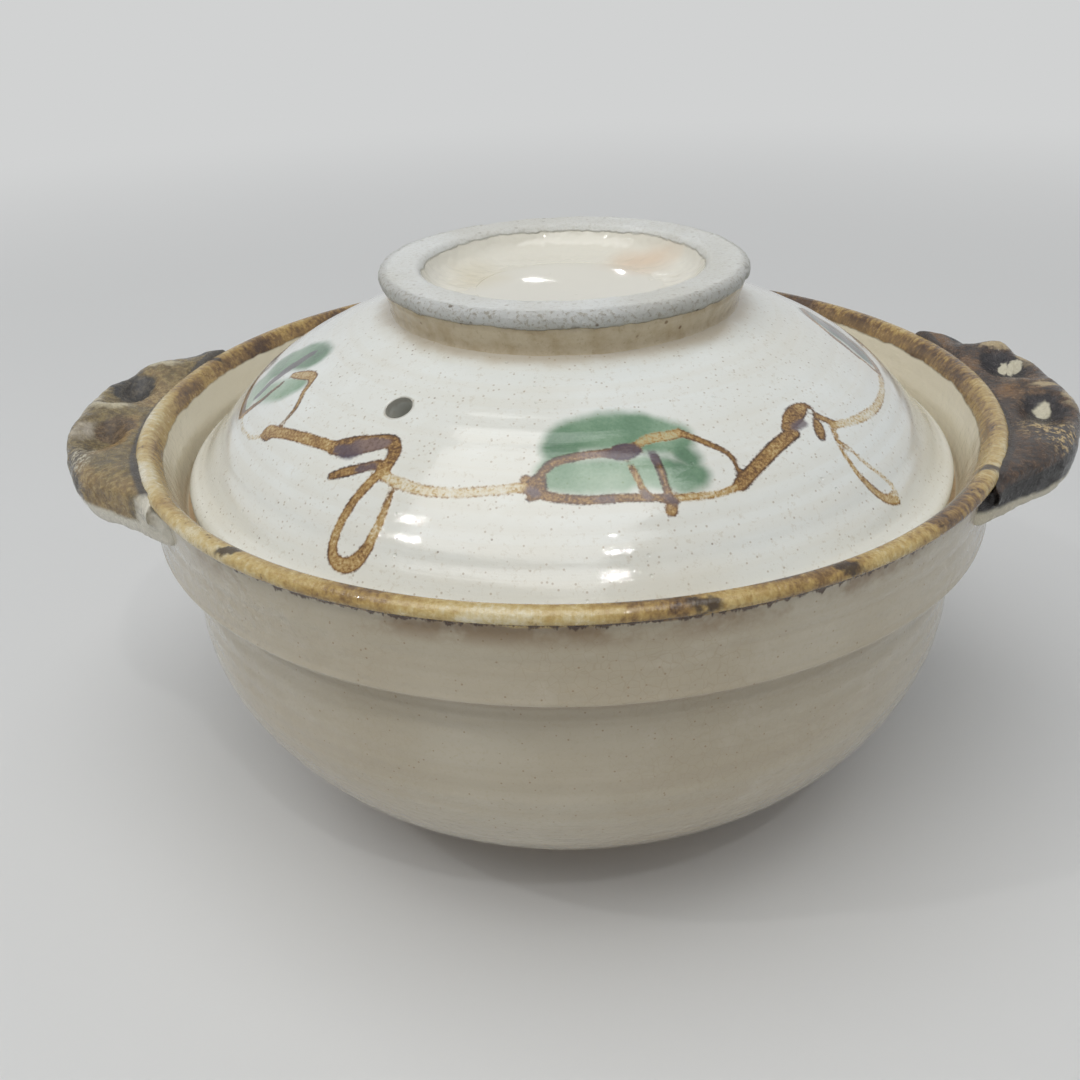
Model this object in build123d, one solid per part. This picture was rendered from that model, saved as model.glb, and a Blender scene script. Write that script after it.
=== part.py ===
from build123d import *
from math import acos, atan, atan2, cos, degrees, hypot, radians, sin, sqrt
import os

# Donabe: a small lidded clay pot for the stovetop, thrown on a wheel and glazed.
# Millimetres, +Z up, origin on the table under the middle of the foot.
# +X runs along the two handles, and -Y is the front.

# Outside of the bowl
rim_height = 101.0           # table to the top of the lip
lip_radius = 105.0           # the pot's widest round
lip_thickness = 5.6
lip_bead = 4.4               # height of the rounded lip
lip_overhang = 1.6           # how far the lip stands proud of the band under it
band_hollow = 0.6            # the band between lip and step is slightly hollow
step_drop = 21.7             # top of the lip to the underside of the raised band
step_bevel = 1.0
groove_radius = 5.0          # concave groove under the raised band
belly_inset = 7.6            # lip to the widest place of the lower bowl
belly_share = 0.577          # height of that place, as a share of the rim's height
neck_taper = 0.7             # the bowl draws in from the belly to the groove
foot_radius = 56.0
foot_flare = 1.2
foot_height = 5.9
foot_width = 8.0
foot_edge = 0.9
base_recess = 2.6

# Inside of the bowl
wall = 7.6
floor_thickness = 8.0
inside_fullness = 0.69       # 0.55 is a plain quarter round, more is squarer
ledge_drop = 16.7            # top of the lip to the ledge that carries the lid
ledge_width = 7.8
ledge_bevel = 1.2
gallery_flare = 3.1          # the wall above the ledge leans out to the lip by this much
gallery_bevel = 1.6

# Lid, with heights counted from the ledge
lid_clearance = 1.5          # edge of the lid to the foot of the upper wall
lid_edge_height = 4.6        # upright edge
lid_edge_round = 2.0
lid_foot_bevel = 1.2
lid_seat_width = 6.5
lid_mouth_lean = 0.2         # inwards for each 1 up, where the hollow starts
lid_wall = 6.0
lid_flange_width = 6.4       # flatter rim outside the shoulder
lid_flange_rise = 10.9
lid_flange_slope = 0.62
lid_edge_slope = 1.12
lid_shoulder_share = 0.78    # of the way from the ring knob out to the flange
lid_shoulder_rise = 21.8
lid_shoulder_slope = 0.85
lid_brow_share = 0.448
lid_brow_rise = 31.6
lid_brow_slope = 0.5
lid_crown_radius = 41.5      # where the ring knob stands
lid_crown_rise = 40.3
lid_crown_slope = 0.38
lid_middle_rise = 42.2       # the middle is dished inside the ring knob
lid_middle_rim_rise = 42.9

# Steam hole, square to the brow of the dome
steam_hole_diameter = 6.0
steam_hole_azimuth = -35.0   # from the front, positive to the right

# Ring knob, like a second foot
knob_radius = 44.2
knob_height = 49.8           # ledge to the top of the ring
knob_band = 3.6              # unglazed band round the top
knob_round = 1.4
knob_overhang = 1.0
knob_bore_radius = 33.9
knob_bore_taper = 3.2

# Handles: lugs luted under the lip, pinched to two thumb hollows each
handle_reach = 19.5          # beyond the lip
handle_bend = 66.0           # radius of the outer edge in plan
handle_crest_drop = 0.7      # crest below the top of the lip
handle_crest_inset = 11.0    # outer edge to the crest
handle_root_drop = 2.2       # top of the lug beside the lip
handle_height = 10.4         # crest to the lowest place of the outer edge
handle_edge_height = 5.6     # crest to the outermost place
handle_root_slope = 0.1      # the top rises outwards from the lip by this much
handle_low_inset = 2.4       # outer edge to the lowest place under it
handle_low_width = 1.6
handle_low_rise = 0.8
handle_low_slope = 0.6
handle_clay = 5.8            # clay between the crest and the finger scoop
handle_roof_shift = 1.6      # the scoop is highest this far outside the crest
handle_scoop_lean = 0.8      # inwards for each 1 up, at the outer edge
handle_root_lean = 0.2       # inwards for each 1 down, at the wall
handle_run_in = 23.0         # the lug is drawn this far into the bowl, then cut to its side
handle_root_height = 16.0    # crest to the foot of the lug on the wall
handle_root_width = 114.4    # from end to end along the lip
handle_outer_width = 85.2    # from corner to corner along the outer edge
handle_end_round = 0.8
handle_groove_radius = 1.2   # groove between the lip and the lug
thumb_cross_radius = 12.5    # curve of a hollow, out from the pot
thumb_length_radius = 26.0   # curve of a hollow, along the handle
thumb_depth = 2.6
thumb_inset = 8.4            # outer edge to the middle of a hollow
thumb_first = -19.7          # along the row of hollows, negative to the front
thumb_pitch = 28.9
thumb_count = 2
thumb_brim_round = 2.5

tool_reach = 4               # cutting tools are this many times the size they cut

band_radius = lip_radius - lip_overhang
belly_radius = lip_radius - belly_inset
belly_height = rim_height * belly_share
neck_radius = belly_radius - neck_taper
step_height = rim_height - step_drop
ledge_height = rim_height - ledge_drop
gallery_radius = lip_radius - lip_thickness - gallery_flare
ledge_radius = gallery_radius - ledge_width
lid_radius = gallery_radius - lid_clearance
lid_flange_radius = lid_radius - lid_flange_width
lid_brow_radius = lid_crown_radius + lid_brow_share * (lid_flange_radius - lid_crown_radius)
lid_shoulder_radius = lid_crown_radius + lid_shoulder_share * (lid_flange_radius - lid_crown_radius)
lip_round = lip_bead / 2
lip_middle = (lip_radius - lip_round, rim_height - lip_round)
lip_turn = degrees(acos(1 - lip_overhang / lip_round))
crest_height = rim_height - handle_crest_drop
bend_middle = lip_radius + handle_reach - handle_bend


def turned(edges):
    """Solid turned about the upright axis from edges drawn as (radius, height)."""
    return revolve(make_face(Plane.XZ * (Curve() + edges)), Axis.Z)


def inset(point, slope, depth):
    """Point that lies depth inside a surface falling outwards by slope."""
    length = hypot(1, slope)
    return (point[0] - depth * slope / length, point[1] - depth / length)


def lip_edge():
    """Outer half of the rounded lip, from the undercut to the top."""
    return CenterArc(lip_middle, lip_round, -lip_turn, lip_turn + 90)


def side_edges():
    """Raised band, step and groove, from under the lip down to the belly."""
    under_lip = (band_radius, lip_middle[1] - lip_round * sin(radians(lip_turn)))
    band_foot = (band_radius, step_height + step_bevel)
    band_middle = (band_radius - band_hollow, (under_lip[1] + band_foot[1]) / 2)
    step = (band_radius - step_bevel, step_height)
    groove_middle = (neck_radius + groove_radius, step_height - groove_radius)
    neck = (neck_radius, groove_middle[1])
    belly = (belly_radius, belly_height)
    return [
        ThreePointArc(under_lip, band_middle, band_foot),
        Polyline(band_foot, step, (groove_middle[0], step_height)),
        CenterArc(groove_middle, groove_radius, 90, 90),
        Spline(neck, belly, tangents=[(0, -1), (0, -1)]),
    ]


def foot_edges():
    """Lower bowl and turned foot, from the belly to the middle of the base."""
    top = (foot_radius + foot_flare, foot_height)
    turn = degrees(acos(top[0] / belly_radius))
    belly_depth = (belly_height - foot_height) / sin(radians(turn))
    inner = foot_radius - foot_width
    return [
        EllipticalCenterArc((0, belly_height), belly_radius, belly_depth, -turn, arc_size=turn),
        Polyline(top, (foot_radius, foot_edge), (foot_radius - foot_edge, 0), (inner, 0),
                 (inner, base_recess), (0, base_recess)),
    ]


def inside_edges():
    """Inside of the bowl, from the middle of the floor up to the lip."""
    floor = base_recess + floor_thickness
    radius = belly_radius - wall
    belly = (radius, belly_height)
    low = (radius, belly_height - inside_fullness * (belly_height - floor))
    flat = (radius * inside_fullness, floor)
    ledge_side = (ledge_radius, ledge_height - ledge_bevel)
    ledge_edge = (ledge_radius + ledge_bevel, ledge_height)
    corner = (gallery_radius - gallery_bevel, ledge_height)
    wall_foot = (gallery_radius, ledge_height + gallery_bevel)
    inner_middle = (lip_radius - lip_thickness + lip_round, lip_middle[1])
    lean = degrees(atan2(gallery_flare, lip_middle[1] - wall_foot[1]))
    inner_arc = CenterArc(inner_middle, lip_round, 90, 90 - lean)
    return [
        Line((0, base_recess), (0, floor)),
        Bezier((0, floor), flat, low, belly),
        Spline(belly, ledge_side, tangents=[(0, 1), (0, 1)]),
        Polyline(ledge_side, ledge_edge, corner, wall_foot, inner_arc @ 1),
        inner_arc,
        Line(inner_arc @ 0, (lip_middle[0], rim_height)),
    ]


def pot_bowl():
    """Thrown bowl with its lip, raised band, inner ledge and foot."""
    return turned([lip_edge()] + side_edges() + foot_edges() + inside_edges())


def pot_block():
    """Bowl filled in to its axis, from the lip to the belly, which the lugs fit against."""
    filling = Polyline((lip_middle[0], rim_height), (0, rim_height), (0, belly_height),
                       (belly_radius, belly_height))
    return turned([lip_edge()] + side_edges() + [filling])


def lid_top_edges():
    """Top of the lid, from its middle to the upright edge."""
    middle = (0, ledge_height + lid_middle_rise)
    middle_rim = (knob_bore_radius - knob_bore_taper, ledge_height + lid_middle_rim_rise)
    crown = (lid_crown_radius, ledge_height + lid_crown_rise)
    brow = (lid_brow_radius, ledge_height + lid_brow_rise)
    shoulder = (lid_shoulder_radius, ledge_height + lid_shoulder_rise)
    flange = (lid_flange_radius, ledge_height + lid_flange_rise)
    edge_height = ledge_height + lid_edge_height
    edge_lean = degrees(atan(lid_flange_slope))
    edge_arc = CenterArc((lid_radius - lid_edge_round, edge_height), lid_edge_round, 0,
                         90 - edge_lean)
    crown_way = (1, -lid_crown_slope)
    flange_way = (1, -lid_edge_slope)
    end_way = (1, -lid_flange_slope)
    return [
        Spline(middle, middle_rim, crown, tangents=[(1, 0), crown_way]),
        Spline(crown, brow, shoulder, flange, tangents=[crown_way, flange_way]),
        Spline(flange, edge_arc @ 1, tangents=[flange_way, end_way]),
        edge_arc,
    ]


def lid_under_edges():
    """Edge, seat and hollow underside of the lid, back to its middle."""
    seat_edge = (lid_radius - lid_foot_bevel, ledge_height)
    mouth = (lid_radius - lid_seat_width, ledge_height)
    flange = inset((lid_flange_radius, ledge_height + lid_flange_rise), lid_edge_slope, lid_wall)
    shoulder = inset((lid_shoulder_radius, ledge_height + lid_shoulder_rise),
                     lid_shoulder_slope, lid_wall)
    brow = inset((lid_brow_radius, ledge_height + lid_brow_rise), lid_brow_slope, lid_wall)
    crown = inset((lid_crown_radius, ledge_height + lid_crown_rise), lid_crown_slope, lid_wall)
    middle = (0, ledge_height + lid_middle_rise - lid_wall)
    return [
        Polyline((lid_radius, ledge_height + lid_edge_height),
                 (lid_radius, ledge_height + lid_foot_bevel), seat_edge, mouth),
        Spline(mouth, flange, shoulder, brow, crown, middle, tangents=[(-lid_mouth_lean, 1), (-1, 0)]),
        Line(middle, (0, ledge_height + lid_middle_rise)),
    ]


def lid_dome():
    """Domed lid with a flat seat and one steam hole."""
    azimuth = radians(steam_hole_azimuth)
    out = Vector(sin(azimuth), -cos(azimuth), 0)
    height = ledge_height + lid_brow_rise
    punch = Plane(origin=out * lid_brow_radius + Vector(0, 0, height),
                  z_dir=out * lid_brow_slope + Vector(0, 0, 1))
    hole = punch * Cylinder(steam_hole_diameter / 2, tool_reach * lid_wall)
    return turned(lid_top_edges() + lid_under_edges()) - hole


def lid_block():
    """Lid filled in down to its seat, which the ring knob stands on."""
    filling = Polyline((lid_radius, ledge_height + lid_edge_height), (lid_radius, ledge_height),
                       (0, ledge_height), (0, ledge_height + lid_middle_rise))
    return turned(lid_top_edges() + [filling])


def knob_ring():
    """Ring knob with an unglazed rounded band, fitted to the crown of the lid."""
    top = ledge_height + knob_height
    band_bottom = top - knob_band
    foot = ledge_height + lid_crown_rise - knob_round
    bore_foot = (knob_bore_radius - knob_bore_taper, foot)
    bore_top = (knob_bore_radius, top - knob_round)
    outer = (knob_radius, top - knob_round)
    neck = (knob_radius - knob_overhang, band_bottom)
    ring = turned([
        Line(bore_foot, bore_top),
        TangentArc((knob_bore_radius + knob_round, top), bore_top, tangent=(-1, 0)),
        Line((knob_bore_radius + knob_round, top), (knob_radius - knob_round, top)),
        CenterArc((knob_radius - knob_round, outer[1]), knob_round, 0, 90),
        TangentArc(outer, neck, tangent=(0, -1)),
        Polyline(neck, (lid_crown_radius, foot), bore_foot),
    ])
    return ring - lid_block()


def lug_section():
    """Section of a handle, as distance from the middle of the bend and height."""
    outer = handle_bend
    root = outer - handle_reach
    crest = (outer - handle_crest_inset, crest_height)
    edge = (outer, crest_height - handle_edge_height)
    low = (outer - handle_low_inset, crest_height - handle_height)
    low_inner = (low[0] - handle_low_width, low[1] + handle_low_rise)
    roof = (crest[0] + handle_roof_shift, crest_height - handle_clay)
    wall_foot = (root - lip_overhang, crest_height - handle_root_height)
    inside = root - handle_run_in
    root_top = (inside, rim_height - handle_root_drop)
    return make_face(Plane.XZ * (Curve() + [
        Line(root_top, (root, root_top[1])),
        Spline((root, root_top[1]), crest, edge, tangents=[(1, handle_root_slope), (0, -1)]),
        Spline(edge, low, low_inner, tangents=[(0, -1), (-1, handle_low_slope)]),
        Spline(low_inner, roof, wall_foot,
               tangents=[(-handle_scoop_lean, 1), (-handle_root_lean, -1)]),
        Polyline(wall_foot, (inside, wall_foot[1]), root_top),
    ]))


def thumb_presses():
    """Rounded tools that press the hollows into the top of a handle."""
    distance = handle_bend - thumb_inset
    height = crest_height - thumb_depth + thumb_length_radius
    ring_radius = thumb_length_radius - thumb_cross_radius
    presses = []
    for number in range(thumb_count):
        angle = (thumb_first + number * thumb_pitch) / distance
        out = Vector(cos(angle), sin(angle), 0)
        place = Plane(origin=out * distance + Vector(bend_middle, 0, height), z_dir=out)
        presses.append(place * Torus(ring_radius, thumb_cross_radius))
    return presses


def end_plane(side):
    """Upright plane of one end of a handle, from the lip to the outer corner."""
    root_side = side * handle_root_width / 2
    root = Vector(sqrt(lip_radius ** 2 - root_side ** 2), root_side, 0)
    corner_side = side * handle_outer_width / 2
    corner = Vector(bend_middle + sqrt(handle_bend ** 2 - corner_side ** 2), corner_side, 0)
    away = Vector(root.Y - corner.Y, corner.X - root.X, 0) * side
    return Plane(origin=(root + corner) / 2 + Vector(0, 0, crest_height), z_dir=away)


def lug_with_ends():
    """Lug swept round its bend, cut off at both ends with rounded edges."""
    lug = revolve(Pos(bend_middle, 0, 0) * lug_section(), Axis((bend_middle, 0, 0), (0, 0, 1)))
    planes = [end_plane(1), end_plane(-1)]
    reach = tool_reach * handle_bend
    beyond = Box(reach, reach, reach, align=(Align.CENTER, Align.CENTER, Align.MIN))
    lug = lug - [plane * beyond for plane in planes]
    end_edges = [edge for edge in lug.edges() for plane in planes
                 if all(abs(plane.to_local_coords(edge @ way).Z) < 0.001 for way in (0, 0.5, 1))]
    return fillet(end_edges, handle_end_round)


def handle_right():
    """Lug handle: a drooping shelf with thumb hollows over a finger scoop."""
    groove = Pos(0, 0, rim_height - handle_root_drop) * Torus(
        lip_radius + handle_groove_radius / 2, handle_groove_radius)
    lug = lug_with_ends() - groove
    presses = thumb_presses()
    pressed = lug - presses
    soft = fillet(new_edges(lug, *presses, combined=pressed), thumb_brim_round)
    return soft - pot_block()


def handle_left():
    """Mirror image of the right handle."""
    return mirror(handle_right(), about=Plane.YZ)


pieces = {
    "pot_bowl": pot_bowl(),
    "handle_left": handle_left(),
    "handle_right": handle_right(),
    "lid_dome": lid_dome(),
    "knob_ring": knob_ring(),
}
os.makedirs("parts", exist_ok=True)
for name, piece in pieces.items():
    export_step(piece, f"parts/{name}.step")
    print(name, len(piece.solids()), "solid", round(piece.volume / 1000, 1), "cm3")
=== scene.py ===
from math import atan2, cos, pi, radians, sin

import bpy
import numpy
from mathutils import Matrix, Vector


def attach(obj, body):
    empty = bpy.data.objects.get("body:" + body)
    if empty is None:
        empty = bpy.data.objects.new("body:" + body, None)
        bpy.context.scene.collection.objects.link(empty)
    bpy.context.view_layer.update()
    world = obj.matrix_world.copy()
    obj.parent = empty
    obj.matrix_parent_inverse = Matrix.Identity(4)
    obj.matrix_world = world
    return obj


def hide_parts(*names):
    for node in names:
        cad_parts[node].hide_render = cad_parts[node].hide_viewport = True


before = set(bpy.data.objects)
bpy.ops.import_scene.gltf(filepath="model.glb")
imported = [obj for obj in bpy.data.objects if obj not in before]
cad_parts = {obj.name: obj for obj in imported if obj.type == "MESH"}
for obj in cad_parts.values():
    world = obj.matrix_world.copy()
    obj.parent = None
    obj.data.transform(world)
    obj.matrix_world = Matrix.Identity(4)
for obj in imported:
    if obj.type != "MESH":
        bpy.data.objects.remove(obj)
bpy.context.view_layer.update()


# Camera
# It stands where the photograph was taken from: close by, a little above the lid, turned
# slightly to the left and held a little askew.
camera_place = (0, -0.2592, 0.2012)
camera_lens = 36.1
camera_film = 36
camera_down = radians(29.087)
camera_turn = radians(-1.784)
camera_roll = radians(-2.232)

ahead = Vector((sin(camera_turn) * cos(camera_down), cos(camera_turn) * cos(camera_down),
                -sin(camera_down)))
level = Vector((cos(camera_turn), -sin(camera_turn), 0))
upright = level.cross(ahead)
camera_right = level * cos(camera_roll) + upright * sin(camera_roll)
camera_up = upright * cos(camera_roll) - level * sin(camera_roll)
camera = bpy.data.objects.new("camera", bpy.data.cameras.new("camera"))
bpy.context.scene.collection.objects.link(camera)
camera.data.lens = camera_lens
camera.data.sensor_width = camera_film
camera.matrix_world = Matrix.Translation(camera_place) @ Matrix(
    (camera_right, camera_up, -ahead)).transposed().to_4x4()
bpy.context.scene.camera = camera


# Floor and light
# The pot stands on a plain pale floor under one wide soft lamp overhead, in an even pale room.
# Two small lamps in front and two behind put the glints on the glaze.
bpy.context.scene.view_settings.view_transform = "Standard"


def srgb(red, green, blue):
    """Colour as read off a screen, 0 to 255, made linear."""
    return tuple((v / 255 / 12.92 if v / 255 <= 0.04045 else ((v / 255 + 0.055) / 1.055) ** 2.4)
                 for v in (red, green, blue)) + (1.0,)


class Channel:
    """A number or colour that varies over a surface. Arithmetic on a number adds Math nodes."""

    def __init__(self, finish, socket):
        self.finish = finish
        self.socket = socket

    def math(self, operation, *values):
        return self.finish.node("Math", {"operation": operation}, dict(enumerate(values)))

    def __add__(self, other):
        return self.math("ADD", self, other)

    def __sub__(self, other):
        return self.math("SUBTRACT", self, other)

    def __rsub__(self, other):
        return self.math("SUBTRACT", other, self)

    def __mul__(self, other):
        return self.math("MULTIPLY", self, other)

    __radd__ = __add__
    __rmul__ = __mul__

    def rise(self, low, high):
        """0 below low, 1 above high, with a soft step between; high below low turns it round."""
        if high > low:
            return self.finish.node("MapRange", {"interpolation_type": "SMOOTHSTEP"},
                                    {"Value": self, "From Min": low, "From Max": high})
        return 1 - self.rise(high, low)

    def coat(self, mask, over):
        """This colour, with another over it where the mask is 1."""
        return self.finish.mix(mask, self, over)


class Finish:
    """A finish under construction, with the steps that all finishes here share."""

    def __init__(self, name, roughness, coat=0.0):
        self.material = bpy.data.materials.new(name)
        self.material.use_nodes = True
        self.tree = self.material.node_tree
        self.shader = self.tree.nodes["Principled BSDF"]
        self.shader.inputs["Roughness"].default_value = roughness
        self.shader.inputs["Coat Weight"].default_value = coat
        self.shader.inputs["Coat Roughness"].default_value = 0.03
        self.place = self.node("TexCoord", {}, {}, "Object")

    def node(self, kind, settings, inputs, output=0):
        node = self.tree.nodes.new("ShaderNode" + kind)
        for setting, value in settings.items():
            if setting == "stops":
                while len(node.color_ramp.elements) < len(value):
                    node.color_ramp.elements.new(0.5)
                for element, (position, colour) in zip(node.color_ramp.elements, value):
                    element.position = position
                    element.color = srgb(*colour)
            else:
                setattr(node, setting, value)
        for name, value in inputs.items():
            self.feed(node.inputs[name], value)
        return Channel(self, node.outputs[output])

    def feed(self, socket, value):
        if isinstance(value, Channel):
            self.tree.links.new(value.socket, socket)
        else:
            socket.default_value = value

    def set(self, name, value):
        self.feed(self.shader.inputs[name], value)

    def stretched(self, stretch, shift=(0, 0, 0)):
        """Place on the piece, drawn out along its axes."""
        return self.node("Mapping", {}, {"Vector": self.place, "Scale": stretch, "Location": shift})

    def noise(self, scale, detail=2.0, place=None, roughness=0.5):
        return self.node("TexNoise", {}, {"Vector": place or self.place, "Scale": scale,
                                          "Detail": detail, "Roughness": roughness}, "Fac")

    def wobbled(self, scale, amount):
        """Place on the piece, pushed about by a noise so that edges drawn on it aren't true."""
        push = self.node("TexNoise", {}, {"Vector": self.place, "Scale": scale}, "Color")
        push = self.node("VectorMath", {"operation": "SUBTRACT"}, {0: push, 1: (0.5, 0.5, 0.5)})
        push = self.node("VectorMath", {"operation": "SCALE"}, {0: push, "Scale": amount})
        return self.node("VectorMath", {"operation": "ADD"}, {0: self.place, 1: push})

    def mix(self, mask, under, over):
        """One colour laid over another where the mask is 1. Either may be as read off a screen."""
        under, over = (colour if isinstance(colour, Channel) else srgb(*colour)
                       for colour in (under, over))
        return self.node("Mix", {"data_type": "RGBA"}, {0: mask, 6: under, 7: over}, 2)

    def most(self, first, *others):
        for other in others:
            first = first.math("MAXIMUM", first, other)
        return first

    def axis(self, name):
        """One coordinate in millimetres."""
        return self.node("SeparateXYZ", {}, {0: self.place}, name) * 1000

    def reach(self):
        """Distance from the wheel's axis in millimetres."""
        flat = self.node("VectorMath", {"operation": "MULTIPLY"}, {0: self.place, 1: (1, 1, 0)})
        return self.node("VectorMath", {"operation": "LENGTH"}, {0: flat}, "Value") * 1000

    def bump(self, height, distance):
        self.set("Normal", self.node("Bump", {}, {"Height": height, "Distance": distance}))

    def dress(self, piece):
        piece.data.materials.clear()
        piece.data.materials.append(self.material)


floor_width = 30
floor_finish = Finish("pale_floor", 0.6)
floor_tone = floor_finish.noise(3, 2)
floor_finish.set("Base Color", floor_finish.mix(floor_tone, (214, 214, 212), (220, 220, 218)))
# Beyond the lamps' reach the floor is seen as pale as it is beside the pot. It turns so between
# these two distances from the middle, in mm.
lit_reach, pale_reach = 250, 1200
pale_room = srgb(209, 210, 210)
seen = floor_finish.most(*(floor_finish.node("LightPath", {}, {}, kind)
                           for kind in ("Is Camera Ray", "Is Glossy Ray", "Is Transmission Ray")))
far_floor = floor_finish.node("Emission", {}, {"Color": pale_room})
floor_finish.feed(floor_finish.tree.nodes["Material Output"].inputs["Surface"], floor_finish.node(
    "MixShader", {}, {0: seen * floor_finish.reach().rise(lit_reach, pale_reach),
                      1: Channel(floor_finish, floor_finish.shader.outputs[0]), 2: far_floor}))
bpy.ops.object.select_all(action="DESELECT")
bpy.ops.mesh.primitive_plane_add(size=floor_width, location=(0, 0, 0))
floor = bpy.context.object
floor.name = "floor"
floor_finish.dress(floor)

pot_middle = Vector((0, 0, 0.08))


def soft_lamp(name, place, width, watts):
    """Square soft lamp that looks at the pot."""
    lamp = bpy.data.objects.new(name, bpy.data.lights.new(name, "AREA"))
    bpy.context.scene.collection.objects.link(lamp)
    lamp.data.size = width
    lamp.data.energy = watts
    lamp.location = place
    lamp.rotation_euler = (pot_middle - lamp.location).to_track_quat("-Z", "Y").to_euler()


soft_lamp("overhead_lamp", (-0.2, -0.42, 1.65), 1.6, 18.0)
soft_lamp("left_lamp", (-0.95, -0.45, 1.25), 0.03, 1.3)
soft_lamp("front_lamp", (0.28, -0.86, 1.30), 0.04, 1.3)
soft_lamp("rear_left_lamp", (-0.02, 1.86, 0.82), 0.007, 0.02)
soft_lamp("rear_right_lamp", (0.065, 1.86, 0.82), 0.007, 0.02)
world = bpy.data.worlds.new("room")
bpy.context.scene.world = world
world.use_nodes = True
room_light = world.node_tree.nodes["Background"]
room_light.inputs["Color"].default_value = srgb(232, 236, 242)
room_light.inputs["Strength"].default_value = 0.37
# Where the room itself is seen it is as pale as the floor.
room_seen = world.node_tree.nodes.new("ShaderNodeBackground")
room_seen.inputs["Color"].default_value = pale_room
sight = world.node_tree.nodes.new("ShaderNodeLightPath")
any_sight = sight.outputs["Is Camera Ray"]
for kind in ("Is Glossy Ray", "Is Transmission Ray"):
    either = world.node_tree.nodes.new("ShaderNodeMath")
    either.operation = "MAXIMUM"
    world.node_tree.links.new(any_sight, either.inputs[0])
    world.node_tree.links.new(sight.outputs[kind], either.inputs[1])
    any_sight = either.outputs[0]
room = world.node_tree.nodes.new("ShaderNodeMixShader")
world.node_tree.links.new(any_sight, room.inputs[0])
world.node_tree.links.new(room_light.outputs[0], room.inputs[1])
world.node_tree.links.new(room_seen.outputs[0], room.inputs[2])
world.node_tree.links.new(room.outputs[0], world.node_tree.nodes["World Output"].inputs["Surface"])


# Bowl of the pot
# Thrown in speckled buff clay and dipped in clear cream glaze, with iron glaze brushed round
# the lip. The ledge that carries the lid and the underside of the foot are left bare.
mm = 0.001
weld = 0.02  # points of the thrown clay nearer than this are one


def modified(piece, kind, **settings):
    """Give the active piece a modifier and apply it."""
    modifier = piece.modifiers.new(kind, kind)
    for setting, value in settings.items():
        setattr(modifier, setting, value)
    bpy.ops.object.modifier_apply(modifier=kind)


def turned(name, half_section, turns, fineness):
    """Clay turned on the wheel: a half section drawn through (radius, height), spun round."""
    bpy.ops.object.select_all(action="DESELECT")
    bpy.ops.curve.primitive_bezier_curve_add(location=(0, 0, 0))
    piece = bpy.context.object
    piece.name = name
    points = piece.data.splines[0].bezier_points
    points.add(len(half_section) - len(points))
    for point, (radius, height) in zip(points, half_section):
        point.co = (radius * mm, 0, height * mm)
        point.handle_left_type = "AUTO"
        point.handle_right_type = "AUTO"
    piece.data.resolution_u = fineness
    bpy.ops.object.convert(target="MESH")
    bpy.ops.object.mode_set(mode="EDIT")
    bpy.ops.mesh.select_all(action="SELECT")
    bpy.ops.mesh.remove_doubles(threshold=weld * mm)
    bpy.ops.object.mode_set(mode="OBJECT")
    modified(piece, "SCREW", axis="Z", angle=2 * pi, steps=turns, render_steps=turns,
             use_merge_vertices=True, merge_threshold=weld * mm)
    bpy.ops.object.mode_set(mode="EDIT")
    bpy.ops.mesh.select_all(action="SELECT")
    bpy.ops.mesh.normals_make_consistent(inside=False)
    bpy.ops.object.mode_set(mode="OBJECT")
    bpy.ops.object.shade_smooth()
    return piece


def uneven(piece, size, depth):
    """The hand of the maker: a slow swelling and sinking of the surface."""
    texture = bpy.data.textures.new(piece.name + "_hand", "CLOUDS")
    texture.noise_scale = size * mm
    texture.noise_depth = 1
    modified(piece, "DISPLACE", texture=texture, strength=depth * mm, mid_level=0.5)


bowl_side = [
    (102.9, 101.0), (103.8, 100.85), (104.5, 100.4), (104.9, 99.75), (105.0, 99.1),
    (104.7, 98.45), (104.1, 98.05), (103.5, 97.75), (103.2, 97.1), (103.1, 94.6), (102.95, 92.6),
    (102.9, 90.6), (102.7, 88.6), (102.85, 86.6), (102.85, 84.6), (103.1, 82.6), (103.15, 81.2),
    (103.35, 80.2), (103.1, 79.6), (102.4, 79.35), (101.4, 79.25), (99.9, 78.95), (98.5, 78.1),
    (97.4, 76.9), (96.85, 75.4), (96.65, 73.6), (96.85, 71.6), (96.75, 69.0), (97.15, 66.6),
    (97.1, 64.0), (97.4, 61.4), (97.25, 58.6), (97.35, 56.0), (97.0, 53.2), (96.75, 50.6),
    (96.1, 48.0), (95.45, 45.4), (94.4, 42.6), (93.35, 40.0), (92.1, 37.4), (90.7, 34.8),
    (89.2, 32.2), (87.5, 29.7), (85.6, 27.3), (83.4, 24.9), (81.2, 22.6), (78.6, 20.2),
    (75.9, 17.8), (72.9, 15.5), (69.6, 13.2), (66.2, 11.0), (62.6, 8.8), (59.0, 6.9),
    (57.6, 6.2), (57.15, 5.6), (56.9, 4.4), (56.3, 1.8), (56.0, 1.0), (55.7, 0.45),
    (55.1, 0.05), (54.4, 0.0), (51.5, 0.0), (48.6, 0.0), (48.15, 0.15), (48.0, 0.6), (48.0, 1.9),
    (47.8, 2.4), (47.3, 2.6), (40.0, 2.7), (20.0, 2.6), (0.0, 2.6),
]
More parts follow.
